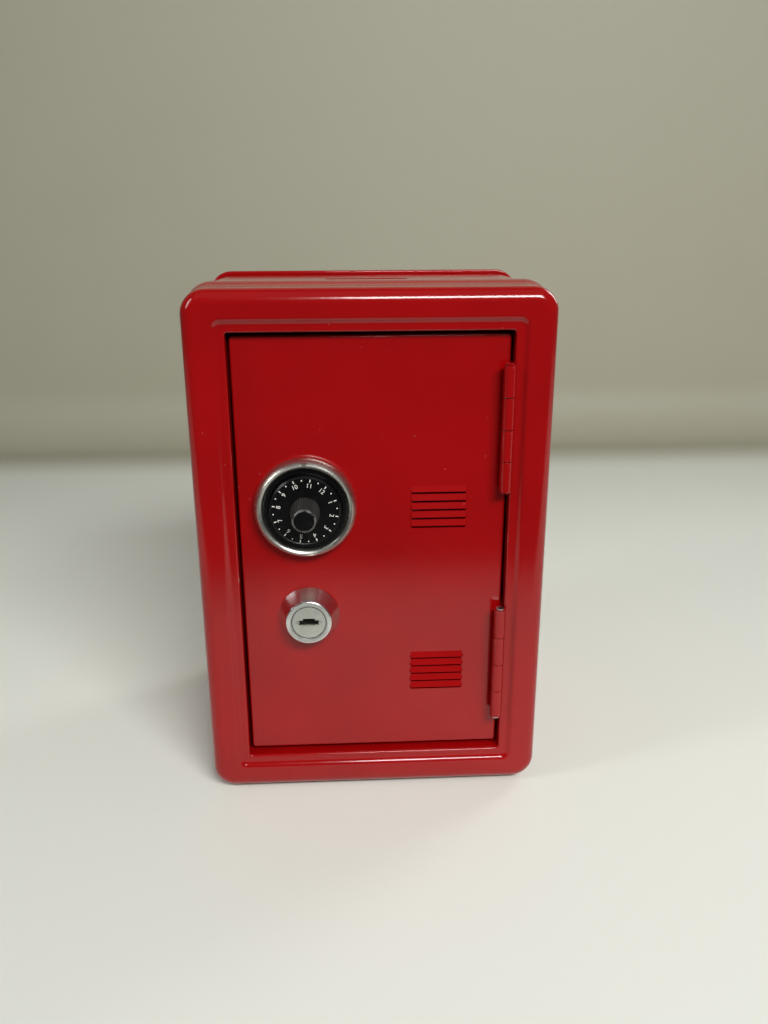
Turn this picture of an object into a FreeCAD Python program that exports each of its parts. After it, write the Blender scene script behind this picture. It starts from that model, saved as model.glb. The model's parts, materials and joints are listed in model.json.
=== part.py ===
"""Small upright steel money safe with a hinged door, a dial and a cam lock.

Millimetres. +X right, +Y into the case, +Z up. The front faces -Y.
The origin is at the bottom centre of the whole object's box.
"""
import FreeCAD
import Part
import math
import os

V = FreeCAD.Vector

# Case, over the two hems
WIDTH = 120.0
HEIGHT = 180.0
DEPTH = 100.0
SHEET = 0.8
EDGE_R = 4.5
FACE_CORNER_R = 8.0

# Skirt and hem of the front and rear shells
SKIRT = 23.0
HEM_FLARE = 1.0
FLARE_RUN = 6.5
HEM_FLAT = 1.9
HEM_EDGE_R = 0.6
HEM_LAP = 7.4
WAIST_STEP = 1.4
LAP_CLEARANCE = 0.05

# Coin slot in the top
SLOT_LENGTH = 30.0
SLOT_WIDTH = 5.0

# Front frame: border to the door opening, pressed step and jamb
FRAME_SIDE = 13.6
FRAME_END = 13.2
OPENING_CORNER_R = 1.0
INNER_FLAT = 2.0
PRESS_CORNER_R = 0.9
PRESS_RUN = 2.9
PRESS_DEPTH = 1.1
JAMB_EDGE_R = 0.7
JAMB_MARGIN = 1.6

# Door
DOOR_SETBACK = 3.3
DOOR_SIDE_GAP = 0.8
DOOR_END_GAP = 1.35
DOOR_FLANGE = 7.0
DOOR_EDGE_R = 0.7
DOOR_CORNER_R = 1.2

# Louvres
LOUVRE_COUNT = 5
LOUVRE_LENGTH = 20.2
LOUVRE_PITCH = 3.0
LOUVRE_HEIGHT = 2.05
LOUVRE_RISE = 0.7
LOUVRE_SKIN = 0.45
LOUVRE_END_SLOPE = 1.0
LOUVRE_SLIT = 0.9
LOUVRE_FROM_HINGE_EDGE = 22.3
UPPER_LOUVRES_FROM_TOP = 56.4
LOWER_LOUVRES_FROM_BOTTOM = 30.8

# Hinges
BARREL_D = 4.0
PIN_D = 1.8
PIN_CLEARANCE = 0.05
PIN_HEAD_D = 2.8
PIN_HEAD_H = 0.5
KNUCKLES = 4
KNUCKLE_LENGTH = 10.5
KNUCKLE_GAP = 0.3
LEAF_T = 0.4
LEAF_MARGIN = 0.6
BARREL_OVER_JAMB = 0.3
BARREL_TO_DOOR = 2.05
UPPER_HINGE_FROM_TOP = 9.15
LOWER_HINGE_FROM_BOTTOM = 13.05

# Dial
DIAL_FROM_FREE_EDGE = 22.3
DIAL_FROM_TOP = 56.15
BEZEL_D = 33.8
BEZEL_LIP_D = 27.8
BEZEL_HEIGHT = 5.4
BEZEL_FLOOR = 1.2
BEZEL_FOOT = 1.0
BEZEL_CREST_D = 30.8
BEZEL_LIP_DROP = 1.5
BEZEL_BULGE = 0.5
INDEX_W = 2.4
INDEX_L = 1.6
INDEX_PROUD = 0.25
INDEX_SINK = 1.5
SLEEVE_D = 12.0
SLEEVE_END = 3.0
SHAFT_D = 8.0
SHAFT_CLEARANCE = 0.08
DIAL_CLEARANCE = 0.3
DIAL_RIM_FRONT = 3.4
NUMBER_RING_D = 23.6
NUMBER_RING_FRONT = 5.8
NUMBER_RING_CHAMFER = 0.6
KNOB_BASE_D = 10.4
KNOB_FRONT_D = 8.0
KNOB_FRONT = 15.9
KNOB_EDGE = 0.45
KNOB_GROOVES = 36
KNOB_GROOVE_DEPTH = 0.28
PUSH_NUT_D = 20.0
PUSH_NUT_T = 0.6
DIAL_WASHER_D = 14.0
DIAL_WASHER_T = 0.8
SPRING_WASHER_T = 0.4
SPRING_WASHER_H = 0.8
DIAL_SCREW_D = 2.4
DIAL_SCREW_HEAD_D = 5.6
DIAL_SCREW_HEAD_H = 1.8
DIAL_SCREW_L = 6.0

# Lock
LOCK_BELOW_DIAL = 39.9
CONE_BASE_D = 21.1
CONE_FRONT_D = 15.4
CONE_HEIGHT = 6.5
CONE_FOOT = 0.6
CONE_EDGE_R = 0.5
BARREL_THREAD_D = 16.0
BARREL_FLATS = 14.4
PLUG_D = 12.6
PLUG_CLEARANCE = 0.05
PLUG_RECESS = 0.2
TAIL_D = 7.6
TAIL_WALL = 1.2
TANG = 5.4
HOLE_CLEARANCE = 0.1
STAR_WASHER_D = 21.5
STAR_WASHER_T = 0.6
STAR_TEETH = 16
STAR_NOTCH = 1.34
NUT_FLATS = 20.0
NUT_T = 3.0
KEYWAY_W = 6.6
KEYWAY_H = 1.5
KEYWAY_BUMP_W = 4.0
KEYWAY_BUMP_H = 0.7
WAFER_COUNT = 4
WAFER_T = 0.8
WAFER_PITCH = 2.6
WAFER_L = 10.8
WAFER_H = 4.4
WAFER_CLEARANCE = 0.06
WAFER_FIRST = 2.6
SPRING_D = 1.9
SPRING_WIRE_D = 0.45
SPRING_L = 3.2
SPRING_TURNS = 3
CAM_T = 1.6
CAM_W = 9.0
CAM_TIP_R = 2.25
CAM_CATCH = 4.2
CAM_CLEARANCE = 0.8
CAM_WASHER_D = 9.0
CAM_WASHER_T = 0.8
CAM_SCREW_D = 3.0
CAM_SCREW_HEAD_D = 6.4
CAM_SCREW_HEAD_H = 2.0
CAM_SCREW_L = 5.0

# Cross slot and rounded edge of both screw heads, as shares of the head
SLOT_ARM_SHARE = 0.6
SLOT_BLADE_SHARE = 0.16
HEAD_ROUND_SHARE = 0.33

# Planes and places worked out from the sizes above
KNOB_REACH = KNOB_FRONT - PRESS_DEPTH - DOOR_SETBACK
FRONT_Y = (KNOB_REACH - DEPTH) / 2
MID_Z = HEIGHT / 2
FACE_HALF_W = WIDTH / 2 - HEM_FLARE
FACE_HALF_H = HEIGHT / 2 - HEM_FLARE
WAIST_HALF_W = WIDTH / 2 - WAIST_STEP
WAIST_HALF_H = HEIGHT / 2 - WAIST_STEP
WAIST_CORNER_R = FACE_CORNER_R + HEM_FLARE - WAIST_STEP
OPENING_HALF_W = FACE_HALF_W - FRAME_SIDE
OPENING_HALF_H = FACE_HALF_H - FRAME_END
FLAT_Y = FRONT_Y + PRESS_DEPTH
DOOR_Y = FLAT_Y + DOOR_SETBACK
DOOR_HALF_W = OPENING_HALF_W - DOOR_SIDE_GAP
DOOR_HALF_H = OPENING_HALF_H - DOOR_END_GAP
DOOR_BACK_Y = DOOR_Y + DOOR_FLANGE
JAMB_END_Y = DOOR_BACK_Y + JAMB_MARGIN
BARREL_R = BARREL_D / 2
HINGE_X = OPENING_HALF_W + BARREL_OVER_JAMB - BARREL_R
HINGE_Y = DOOR_Y - BARREL_TO_DOOR - BARREL_R
HINGE_LENGTH = KNUCKLES * KNUCKLE_LENGTH
DIAL_X = DIAL_FROM_FREE_EDGE - DOOR_HALF_W
DIAL_Z = MID_Z + DOOR_HALF_H - DIAL_FROM_TOP
LOCK_X = DIAL_X
LOCK_Z = DIAL_Z - LOCK_BELOW_DIAL
CAM_Y = JAMB_END_Y + CAM_CLEARANCE


def rounded_wire(half_w, half_h, radius, y):
    """Closed rounded rectangle about the case's middle, in the plane Y = y."""
    cx = half_w - radius
    cz = half_h - radius
    corner = radius * math.sqrt(0.5)
    edges = []
    for turn in range(4):
        sx = (1, -1, -1, 1)[turn]
        sz = (1, 1, -1, -1)[turn]
        side = V(sx * half_w, y, MID_Z + sz * cz)
        end = V(sx * cx, y, MID_Z + sz * half_h)
        middle = V(sx * (cx + corner), y, MID_Z + sz * (cz + corner))
        first, last = (side, end) if turn % 2 == 0 else (end, side)
        edges.append((first, middle, last))
    wire_edges = []
    for index, (first, middle, last) in enumerate(edges):
        wire_edges.append(Part.Arc(first, middle, last).toShape())
        wire_edges.append(Part.makeLine(last, edges[(index + 1) % 4][0]))
    return Part.Wire(wire_edges)


def rounded_prism(half_w, half_h, radius, y0, y1):
    """Solid rounded rectangle from Y = y0 to Y = y1."""
    return Part.Face(rounded_wire(half_w, half_h, radius, y0)).extrude(V(0, y1 - y0, 0))


def frame_plate(outer, inner, y0, y1):
    """Flat plate between two rounded rectangles, each (half width, half height, radius)."""
    reach = y1 - y0
    hole = rounded_prism(inner[0], inner[1], inner[2], y0 - reach, y1 + reach)
    return rounded_prism(outer[0], outer[1], outer[2], y0, y1).cut(hole)


def swept_ring(section, half_w, half_h, radius):
    """Carry a section of (u, y) edges round a rounded rectangle; u points outward."""
    face = Part.Face(Part.Wire([edge(half_w) for edge in section]))
    face.translate(V(0, 0, MID_Z))
    side = face.extrude(V(0, 0, half_h - radius))
    turned = face.copy()
    turned.translate(V(0, 0, half_h - radius))
    pivot = V(half_w - radius, 0, MID_Z + half_h - radius)
    corner = turned.revolve(pivot, V(0, -1, 0), 90)
    top_face = turned.copy()
    top_face.rotate(pivot, V(0, -1, 0), 90)
    top = top_face.extrude(V(-(half_w - radius), 0, 0))
    quarter = side.fuse([corner, top])
    half = quarter.fuse(quarter.mirror(V(0, 0, 0), V(1, 0, 0)))
    return half.fuse(half.mirror(V(0, 0, MID_Z), V(0, 0, 1))).removeSplitter()


def line(a, b):
    """Section edge from (u, y) to (u, y), placed once the path's half width is known."""
    return lambda half_w: Part.makeLine(V(half_w + a[0], a[1], 0), V(half_w + b[0], b[1], 0))


def arc(a, mid, b):
    """Section arc through three (u, y) points."""
    def place(half_w):
        points = [V(half_w + p[0], p[1], 0) for p in (a, mid, b)]
        return Part.Arc(points[0], points[1], points[2]).toShape()
    return place


def s_curve(a, b):
    """Two equal arcs from a to b, level in y at both ends when b differs in both ways."""
    middle = ((a[0] + b[0]) / 2, (a[1] + b[1]) / 2)
    return [arc(a, s_point(a, middle), middle), arc(middle, s_point(b, middle), b)]


def s_point(start, middle):
    """Mid point of an arc that leaves start along u and reaches middle."""
    run = middle[0] - start[0]
    rise = middle[1] - start[1]
    radius = (run * run + rise * rise) / (2 * abs(rise))
    half_turn = math.atan2(abs(rise), abs(run))
    du = math.copysign(radius * math.sin(half_turn), run)
    dy = math.copysign(radius * (1 - math.cos(half_turn)), rise)
    return (start[0] + du, start[1] + dy)


def swap(points):
    """Exchange the two coordinates of a point."""
    return (points[1], points[0])


def shell_skirt(face_y, inward):
    """Rounded edge, skirt and hem of a shell. inward is +1 from the front, -1 from the back."""
    def at(u, depth):
        return (u, face_y + inward * depth)
    flat = EDGE_R
    crest = EDGE_R + HEM_FLARE
    seat = EDGE_R + HEM_FLARE - WAIST_STEP + LAP_CLEARANCE
    inner = EDGE_R - SHEET
    diagonal = math.sqrt(0.5)
    flare_end = SKIRT - HEM_FLAT - HEM_EDGE_R
    flare_start = flare_end - FLARE_RUN
    a = (flare_start, flat)
    b = (flare_end, crest)
    middle = ((a[0] + b[0]) / 2, (a[1] + b[1]) / 2)
    low = swap(s_point(a, middle))
    high = swap(s_point(b, middle))
    hem_turn = HEM_EDGE_R * (1 - diagonal)
    section = [
        arc(at(0, 0), at(EDGE_R * diagonal, EDGE_R * (1 - diagonal)), at(flat, EDGE_R)),
        line(at(flat, EDGE_R), at(flat, flare_start)),
        arc(at(flat, flare_start), at(*low), at(middle[1], middle[0])),
        arc(at(middle[1], middle[0]), at(*high), at(crest, flare_end)),
        line(at(crest, flare_end), at(crest, SKIRT - HEM_EDGE_R)),
        arc(at(crest, SKIRT - HEM_EDGE_R), at(crest - hem_turn, SKIRT - hem_turn),
            at(crest - HEM_EDGE_R, SKIRT)),
        line(at(crest - HEM_EDGE_R, SKIRT), at(seat, SKIRT)),
        line(at(seat, SKIRT), at(seat, SKIRT - HEM_LAP - LAP_CLEARANCE)),
        line(at(seat, SKIRT - HEM_LAP - LAP_CLEARANCE), at(inner, SKIRT - HEM_LAP - LAP_CLEARANCE)),
        line(at(inner, SKIRT - HEM_LAP - LAP_CLEARANCE), at(inner, EDGE_R)),
        arc(at(inner, EDGE_R), at(inner * diagonal, EDGE_R - inner * diagonal), at(0, SHEET)),
        line(at(0, SHEET), at(0, 0)),
    ]
    return swept_ring(section, FACE_HALF_W - EDGE_R, FACE_HALF_H - EDGE_R, FACE_CORNER_R - EDGE_R)


def front_shell():
    """Pressed front frame: rounded edge, flat band, pressed step, inner flat and jamb."""
    band_outer = (FACE_HALF_W - EDGE_R, FACE_HALF_H - EDGE_R, FACE_CORNER_R - EDGE_R)
    step_w = OPENING_HALF_W + INNER_FLAT
    step_h = OPENING_HALF_H + INNER_FLAT
    band_inner = (step_w + PRESS_RUN, step_h + PRESS_RUN, PRESS_CORNER_R + PRESS_RUN)
    band = frame_plate(band_outer, band_inner, FRONT_Y, FRONT_Y + SHEET)
    outer_front = (PRESS_RUN, FRONT_Y)
    inner_front = (0, FLAT_Y)
    outer_back = (PRESS_RUN, FRONT_Y + SHEET)
    inner_back = (0, FLAT_Y + SHEET)
    step = s_curve(outer_front, inner_front) + [line(inner_front, inner_back)]
    step += s_curve(inner_back, outer_back) + [line(outer_back, outer_front)]
    press = swept_ring(step, step_w, step_h, PRESS_CORNER_R)
    flat = frame_plate((step_w, step_h, PRESS_CORNER_R),
                       (OPENING_HALF_W + SHEET, OPENING_HALF_H + SHEET, OPENING_CORNER_R + SHEET),
                       FLAT_Y, FLAT_Y + SHEET)
    turn = JAMB_EDGE_R * (1 - math.sqrt(0.5))
    jamb = [
        line((SHEET, FLAT_Y), (JAMB_EDGE_R, FLAT_Y)),
        arc((JAMB_EDGE_R, FLAT_Y), (turn, FLAT_Y + turn), (0, FLAT_Y + JAMB_EDGE_R)),
        line((0, FLAT_Y + JAMB_EDGE_R), (0, JAMB_END_Y)),
        line((0, JAMB_END_Y), (SHEET, JAMB_END_Y)),
        line((SHEET, JAMB_END_Y), (SHEET, FLAT_Y)),
    ]
    jamb_ring = swept_ring(jamb, OPENING_HALF_W, OPENING_HALF_H, OPENING_CORNER_R)
    skirt = shell_skirt(FRONT_Y, 1)
    return skirt.fuse([band, press, flat, jamb_ring]).removeSplitter()


def rear_shell():
    """Pressed back with the same skirt and hem as the front."""
    back_y = FRONT_Y + DEPTH
    panel = rounded_prism(FACE_HALF_W - EDGE_R, FACE_HALF_H - EDGE_R, FACE_CORNER_R - EDGE_R,
                          back_y - SHEET, back_y)
    return shell_skirt(back_y, -1).fuse(panel).removeSplitter()


def body_wrap():
    """Sleeve between the shells, tucked under both hems, with the coin slot in its top."""
    y0 = FRONT_Y + SKIRT - HEM_LAP
    y1 = FRONT_Y + DEPTH - SKIRT + HEM_LAP
    sleeve = frame_plate((WAIST_HALF_W, WAIST_HALF_H, WAIST_CORNER_R),
                         (WAIST_HALF_W - SHEET, WAIST_HALF_H - SHEET, WAIST_CORNER_R - SHEET), y0, y1)
    slot_y = FRONT_Y + DEPTH / 2
    straight = SLOT_LENGTH - SLOT_WIDTH
    drop = 4 * SHEET
    slot_z = MID_Z + WAIST_HALF_H - drop / 2
    slot = Part.makeBox(straight, SLOT_WIDTH, drop, V(-straight / 2, slot_y - SLOT_WIDTH / 2, slot_z))
    for side in (-1, 1):
        end = Part.makeCylinder(SLOT_WIDTH / 2, drop, V(side * straight / 2, slot_y, slot_z))
        slot = slot.fuse(end)
    return sleeve.cut(slot)


def louvre(x, z):
    """Raised skin of a louvre whose lower lip is at height z, the cut behind it and its slit."""
    half = LOUVRE_LENGTH / 2
    front = DOOR_Y - LOUVRE_RISE

    def wedge(inset, back):
        top = z + LOUVRE_HEIGHT - inset
        nose = front + inset
        base = half - inset
        tip = base - LOUVRE_END_SLOPE
        lip_base = Part.makePolygon([V(x - base, back, z), V(x + base, back, z), V(x + tip, nose, z),
                                     V(x - tip, nose, z), V(x - base, back, z)])
        ridge = Part.makePolygon([V(x - tip, back, top), V(x + tip, back, top),
                                  V(x + tip, back - LOUVRE_SKIN, top),
                                  V(x - tip, back - LOUVRE_SKIN, top), V(x - tip, back, top)])
        return Part.makeLoft([lip_base, ridge], True, True)

    slit_half = half - LOUVRE_END_SLOPE
    slit = Part.makeBox(2 * slit_half, 3 * SHEET, LOUVRE_SLIT,
                        V(x - slit_half, DOOR_Y - SHEET, z - LOUVRE_SLIT))
    return wedge(0, DOOR_Y + SHEET / 2), wedge(LOUVRE_SKIN, DOOR_Y + 2 * SHEET), slit


def door_panel():
    """Pressed door with folded edges, louvres and holes for the dial and the lock."""
    pan = rounded_prism(DOOR_HALF_W, DOOR_HALF_H, DOOR_CORNER_R, DOOR_Y, DOOR_BACK_Y)
    rim = [edge for edge in pan.Edges if abs(edge.BoundBox.YMax - DOOR_Y) < 1e-6]
    pan = pan.makeFillet(DOOR_EDGE_R, rim)
    hollow = rounded_prism(DOOR_HALF_W - SHEET, DOOR_HALF_H - SHEET, DOOR_CORNER_R - SHEET,
                           DOOR_Y + SHEET, DOOR_BACK_Y + SHEET)
    pan = pan.cut(hollow)
    x = DOOR_HALF_W - LOUVRE_FROM_HINGE_EDGE
    group_height = LOUVRE_COUNT * LOUVRE_PITCH
    centres = (MID_Z + DOOR_HALF_H - UPPER_LOUVRES_FROM_TOP,
               MID_Z - DOOR_HALF_H + LOWER_LOUVRES_FROM_BOTTOM)
    skins = []
    cuts = []
    for centre in centres:
        for index in range(LOUVRE_COUNT):
            skin, cut, slit = louvre(x, centre - group_height / 2 + index * LOUVRE_PITCH)
            skins.append(skin)
            cuts += [cut, slit]
    sleeve_hole = Part.makeCylinder(SLEEVE_D / 2 + HOLE_CLEARANCE, 3 * SHEET,
                                    V(DIAL_X, DOOR_Y - SHEET, DIAL_Z), V(0, 1, 0))
    lock_hole = flatted_bar(BARREL_THREAD_D + 2 * HOLE_CLEARANCE, BARREL_FLATS + 2 * HOLE_CLEARANCE,
                            DOOR_Y - SHEET, DOOR_Y + 2 * SHEET)
    return pan.fuse(skins).cut(cuts + [sleeve_hole, lock_hole]).removeSplitter()


def flatted_bar(diameter, flats, y0, y1):
    """Round bar on the lock's axis with two upright flats."""
    bar = Part.makeCylinder(diameter / 2, y1 - y0, V(LOCK_X, y0, LOCK_Z), V(0, 1, 0))
    box = Part.makeBox(flats, y1 - y0, diameter, V(LOCK_X - flats / 2, y0, LOCK_Z - diameter / 2))
    return bar.common(box)


def knuckle(index, base_z):
    """One barrel length of a hinge, solid, with its share of the gaps."""
    low = base_z + index * KNUCKLE_LENGTH + KNUCKLE_GAP / 2
    return Part.makeCylinder(BARREL_R, KNUCKLE_LENGTH - KNUCKLE_GAP, V(HINGE_X, HINGE_Y, low))


def hinge_leaf(base_z, first, leaf_x, web_x, web_y0, web_y1):
    """Every second knuckle from first, webs to the leaf, and the leaf along the gap."""
    plate_y = HINGE_Y + BARREL_R + BARREL_TO_DOOR
    plate_end = DOOR_BACK_Y - LEAF_MARGIN
    pieces = [Part.makeBox(LEAF_T, plate_end - plate_y - DOOR_EDGE_R, HINGE_LENGTH,
                           V(leaf_x, plate_y + DOOR_EDGE_R, base_z))]
    for index in range(first, KNUCKLES, 2):
        low = base_z + index * KNUCKLE_LENGTH + KNUCKLE_GAP / 2
        tall = KNUCKLE_LENGTH - KNUCKLE_GAP
        pieces.append(knuckle(index, base_z))
        pieces.append(Part.makeBox(leaf_x + LEAF_T - web_x, web_y1 - web_y0, tall, V(web_x, web_y0, low)))
        pieces.append(Part.makeBox(LEAF_T, plate_end - web_y0, tall, V(leaf_x, web_y0, low)))
    bore = Part.makeCylinder(PIN_D / 2 + PIN_CLEARANCE, HINGE_LENGTH, V(HINGE_X, HINGE_Y, base_z))
    return pieces[0].fuse(pieces[1:]).cut(bore).removeSplitter()


def frame_leaf(base_z):
    """Leaf on the jamb, with the lowest knuckle of the hinge."""
    web_y0 = HINGE_Y + PIN_D / 2
    web_y1 = web_y0 + LEAF_T + LEAF_MARGIN / 2
    return hinge_leaf(base_z, 0, OPENING_HALF_W - LEAF_T, HINGE_X, web_y0, web_y1)


def door_leaf(base_z):
    """Leaf on the door's folded edge, with the top knuckle of the hinge."""
    web_y0 = HINGE_Y + PIN_D / 2
    return hinge_leaf(base_z, 1, DOOR_HALF_W, DOOR_HALF_W, web_y0, web_y0 + LEAF_T)


def hinge_pin(base_z):
    """Pin through all the knuckles, headed at both ends."""
    pin = Part.makeCylinder(PIN_D / 2, HINGE_LENGTH, V(HINGE_X, HINGE_Y, base_z))
    for low in (base_z - PIN_HEAD_H, base_z + HINGE_LENGTH):
        pin = pin.fuse(Part.makeCylinder(PIN_HEAD_D / 2, PIN_HEAD_H, V(HINGE_X, HINGE_Y, low)))
    return pin.removeSplitter()


def turned(points, x, z):
    """Solid of revolution about the Y axis through (x, z). Points are (radius, y from the door)."""
    profile = Part.makePolygon([V(x + r, DOOR_Y + y, z) for r, y in points + points[:1]])
    return Part.Face(profile).revolve(V(x, 0, z), V(0, 1, 0), 360)


def ring(outer_d, inner_d, y0, y1, x, z):
    """Flat ring on a Y axis, from y0 to y1 behind the door's face."""
    return turned([(inner_d / 2, y0), (outer_d / 2, y0), (outer_d / 2, y1), (inner_d / 2, y1)], x, z)


def dial_bezel():
    """Chrome cup round the dial: rounded rim, floor on the door and a sleeve through it."""
    outer = BEZEL_D / 2
    lip = BEZEL_LIP_D / 2
    bore = SHAFT_D / 2 + SHAFT_CLEARANCE
    crest_r = BEZEL_CREST_D / 2
    lip_y = BEZEL_LIP_DROP - BEZEL_HEIGHT
    bulge = ((outer + crest_r) / 2 + BEZEL_BULGE, -(BEZEL_HEIGHT + BEZEL_FOOT) / 2 - BEZEL_BULGE)
    shoulder = ((crest_r + lip) / 2 - BEZEL_BULGE / 2, (lip_y - BEZEL_HEIGHT) / 2 - BEZEL_BULGE / 2)

    def at(r, y):
        return V(DIAL_X + r, DOOR_Y + y, DIAL_Z)
    edges = [
        Part.makeLine(at(outer, 0), at(outer, -BEZEL_FOOT)),
        Part.Arc(at(outer, -BEZEL_FOOT), at(*bulge), at(crest_r, -BEZEL_HEIGHT)).toShape(),
        Part.Arc(at(crest_r, -BEZEL_HEIGHT), at(*shoulder), at(lip, lip_y)).toShape(),
        Part.makeLine(at(lip, lip_y), at(lip, -BEZEL_FLOOR)),
        Part.makeLine(at(lip, -BEZEL_FLOOR), at(bore, -BEZEL_FLOOR)),
        Part.makeLine(at(bore, -BEZEL_FLOOR), at(bore, SLEEVE_END)),
        Part.makeLine(at(bore, SLEEVE_END), at(SLEEVE_D / 2, SLEEVE_END)),
        Part.makeLine(at(SLEEVE_D / 2, SLEEVE_END), at(SLEEVE_D / 2, 0)),
        Part.makeLine(at(SLEEVE_D / 2, 0), at(outer, 0)),
    ]
    cup = Part.Face(Part.Wire(edges)).revolve(V(DIAL_X, 0, DIAL_Z), V(0, 1, 0), 360)
    root = crest_r + INDEX_L / 2
    index_y = -BEZEL_HEIGHT - INDEX_PROUD
    mark = Part.makePolygon([V(DIAL_X - INDEX_W / 2, DOOR_Y + index_y, DIAL_Z + root),
                             V(DIAL_X + INDEX_W / 2, DOOR_Y + index_y, DIAL_Z + root),
                             V(DIAL_X, DOOR_Y + index_y, DIAL_Z + root - INDEX_L),
                             V(DIAL_X - INDEX_W / 2, DOOR_Y + index_y, DIAL_Z + root)])
    index = Part.Face(mark).extrude(V(0, INDEX_PROUD + INDEX_SINK, 0))
    return cup.fuse(index).removeSplitter()


def bezel_push_nut():
    """Spring steel ring pressed on the sleeve behind the door."""
    return ring(PUSH_NUT_D, SLEEVE_D + 2 * LAP_CLEARANCE, SHEET, SHEET + PUSH_NUT_T, DIAL_X, DIAL_Z)


def dial():
    """Black moulded dial: rim, raised number ring, knurled knob and shaft."""
    rim_r = BEZEL_LIP_D / 2 - DIAL_CLEARANCE
    ring_r = NUMBER_RING_D / 2
    back = -BEZEL_FLOOR - DIAL_CLEARANCE
    shaft_end = SLEEVE_END + DIAL_CLEARANCE + SPRING_WASHER_H
    ring_front_r = ring_r - NUMBER_RING_CHAMFER
    ring_foot_r = ring_r + NUMBER_RING_CHAMFER
    body = turned([(0, -NUMBER_RING_FRONT), (ring_front_r, -NUMBER_RING_FRONT),
                   (ring_r, NUMBER_RING_CHAMFER - NUMBER_RING_FRONT), (ring_foot_r, -DIAL_RIM_FRONT),
                   (rim_r, -DIAL_RIM_FRONT), (rim_r, back), (SHAFT_D / 2, back),
                   (SHAFT_D / 2, shaft_end), (0, shaft_end)], DIAL_X, DIAL_Z)
    grip_end = KNOB_FRONT - KNOB_EDGE
    grip = Part.makeLoft([star(KNOB_BASE_D / 2, -NUMBER_RING_FRONT + KNOB_EDGE),
                          star(KNOB_FRONT_D / 2, -grip_end)], True, True)
    cap = turned([(0, -grip_end + KNOB_EDGE), (KNOB_FRONT_D / 2 - KNOB_GROOVE_DEPTH, -grip_end + KNOB_EDGE),
                  (KNOB_FRONT_D / 2 - KNOB_GROOVE_DEPTH, -grip_end),
                  (KNOB_FRONT_D / 2 - KNOB_GROOVE_DEPTH - KNOB_EDGE, -KNOB_FRONT), (0, -KNOB_FRONT)],
                 DIAL_X, DIAL_Z)
    core = Part.makeCylinder(DIAL_SCREW_D / 2, DIAL_SCREW_L + DIAL_CLEARANCE,
                             V(DIAL_X, DOOR_Y + shaft_end, DIAL_Z), V(0, -1, 0))
    return body.fuse([grip, cap]).cut(core).removeSplitter()


def star(radius, y):
    """Fluted outline of the knob at one depth."""
    points = []
    for index in range(2 * KNOB_GROOVES):
        angle = math.pi * index / KNOB_GROOVES
        reach = radius - (KNOB_GROOVE_DEPTH if index % 2 else 0)
        points.append(V(DIAL_X + reach * math.cos(angle), DOOR_Y + y, DIAL_Z + reach * math.sin(angle)))
    return Part.makePolygon(points + points[:1])


def dial_spring_washer():
    """Dished washer between the sleeve's end and the retaining washer."""
    inner = SHAFT_D / 2 + DIAL_CLEARANCE
    outer = DIAL_WASHER_D / 2
    y0 = SLEEVE_END + DIAL_CLEARANCE
    y1 = y0 + SPRING_WASHER_H
    return turned([(inner, y0), (outer, y1 - SPRING_WASHER_T), (outer, y1), (inner, y0 + SPRING_WASHER_T)],
                  DIAL_X, DIAL_Z)


def dial_retaining_washer():
    """Flat washer on the end of the shaft."""
    y0 = SLEEVE_END + DIAL_CLEARANCE + SPRING_WASHER_H
    return ring(DIAL_WASHER_D, DIAL_SCREW_D + 2 * HOLE_CLEARANCE, y0, y0 + DIAL_WASHER_T, DIAL_X, DIAL_Z)


def screw(shank_d, shank_l, head_d, head_h, seat_y, x, z):
    """Pan head screw pointing to -Y, with its head behind seat_y and a cross slot."""
    shank = Part.makeCylinder(shank_d / 2, shank_l, V(x, DOOR_Y + seat_y, z), V(0, -1, 0))
    head = Part.makeCylinder(head_d / 2, head_h, V(x, DOOR_Y + seat_y, z), V(0, 1, 0))
    rim = [edge for edge in head.Edges if edge.BoundBox.YMin > DOOR_Y + seat_y + head_h / 2]
    head = head.makeFillet(head_h * HEAD_ROUND_SHARE, rim)
    arm = head_d * SLOT_ARM_SHARE
    blade = head_d * SLOT_BLADE_SHARE
    slots = [Part.makeBox(w, head_h, h, V(x - w / 2, DOOR_Y + seat_y + head_h / 2, z - h / 2))
             for w, h in ((arm, blade), (blade, arm))]
    return shank.fuse(head).cut(slots).removeSplitter()


def dial_screw():
    """Screw into the shaft's end."""
    seat = SLEEVE_END + DIAL_CLEARANCE + SPRING_WASHER_H + DIAL_WASHER_T
    return screw(DIAL_SCREW_D - 2 * LAP_CLEARANCE, DIAL_SCREW_L, DIAL_SCREW_HEAD_D, DIAL_SCREW_HEAD_H,
                 seat, DIAL_X, DIAL_Z)


def plug_end():
    """Where the plug's full diameter ends, behind the door's face."""
    return CAM_Y - DOOR_Y - TAIL_WALL - 2 * LAP_CLEARANCE


def lock_housing():
    """Chrome cone in front of the door and the flatted barrel behind it, bored for the plug."""
    barrel_end = CAM_Y - DOOR_Y - LAP_CLEARANCE
    barrel = flatted_bar(BARREL_THREAD_D, BARREL_FLATS, DOOR_Y, DOOR_Y + barrel_end)
    cone = turned([(0, 0), (CONE_BASE_D / 2, 0), (CONE_BASE_D / 2, -CONE_FOOT),
                   (CONE_FRONT_D / 2, -CONE_HEIGHT), (0, -CONE_HEIGHT)], LOCK_X, LOCK_Z)
    rim = [edge for edge in cone.Edges if edge.BoundBox.YMax < DOOR_Y - CONE_HEIGHT + CONE_EDGE_R / 2]
    cone = cone.makeFillet(CONE_EDGE_R, rim)
    bore_d = PLUG_D + 2 * PLUG_CLEARANCE
    bore = ring(bore_d, 0, -CONE_HEIGHT - CONE_FOOT, plug_end() + PLUG_CLEARANCE, LOCK_X, LOCK_Z)
    tail = ring(TAIL_D + 2 * PLUG_CLEARANCE, 0, 0, barrel_end + TAIL_WALL, LOCK_X, LOCK_Z)
    return cone.fuse(barrel).cut([bore, tail]).removeSplitter()


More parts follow.
